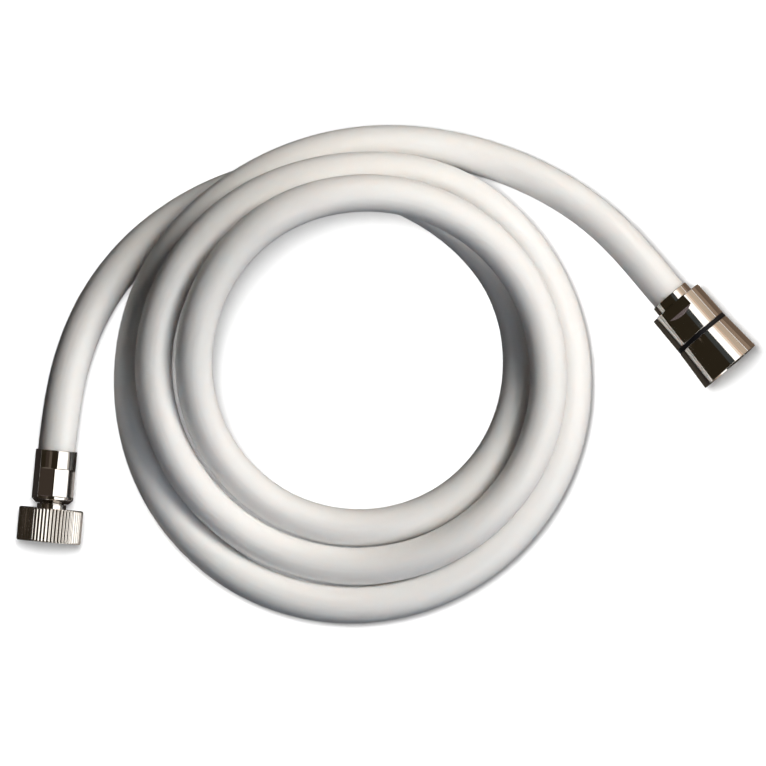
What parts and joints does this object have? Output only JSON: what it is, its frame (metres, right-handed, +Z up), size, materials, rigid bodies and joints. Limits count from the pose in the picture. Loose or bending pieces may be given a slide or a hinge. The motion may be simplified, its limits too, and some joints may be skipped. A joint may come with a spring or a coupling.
{
  "type": "pvc shower hose",
  "caption": "White PVC shower hose lying in a loose coil, with a knurled swivel nut on a crimped ferrule at one end and a long conical swivel nut at the other.",
  "frame": {"origin": "middle of the coiled hose's outline, on the surface it lies on", "axes": "+Z up from the surface, +X towards the conical nut's side, +Y towards the top of the coil where the hose crosses itself"},
  "size_m": [0.278, 0.1868, 0.0524],
  "materials": {
    "hose": "smooth glossy white PVC",
    "chrome": "polished chrome plate on brass",
    "ring": "satin black plastic",
    "washer": "matt grey rubber"
  },
  "bodies": {
    "hose": {"hose": "hose", "left_insert": "chrome", "left_ferrule": "chrome", "right_insert": "chrome", "right_ferrule": "chrome"},
    "knurled_nut": {"knurled_nut": "chrome", "left_washer": "washer"},
    "cone_nut": {"cone_nut": "chrome", "grip_ring": "ring", "right_washer": "washer"}
  },
  "joints": [
    {"name": "knurled_nut_spin", "type": "hinge", "parent": "hose", "child": "knurled_nut", "pos_m": [-0.127, -0.06285, 0.0121], "axis": [0.0906, 0.9959, 0], "continuous": true},
    {"name": "cone_nut_spin", "type": "hinge", "parent": "hose", "child": "cone_nut", "pos_m": [0.1298, 0.00325, 0.01236], "axis": [-0.6489, 0.7597, -0.0419], "continuous": true}
  ]
}
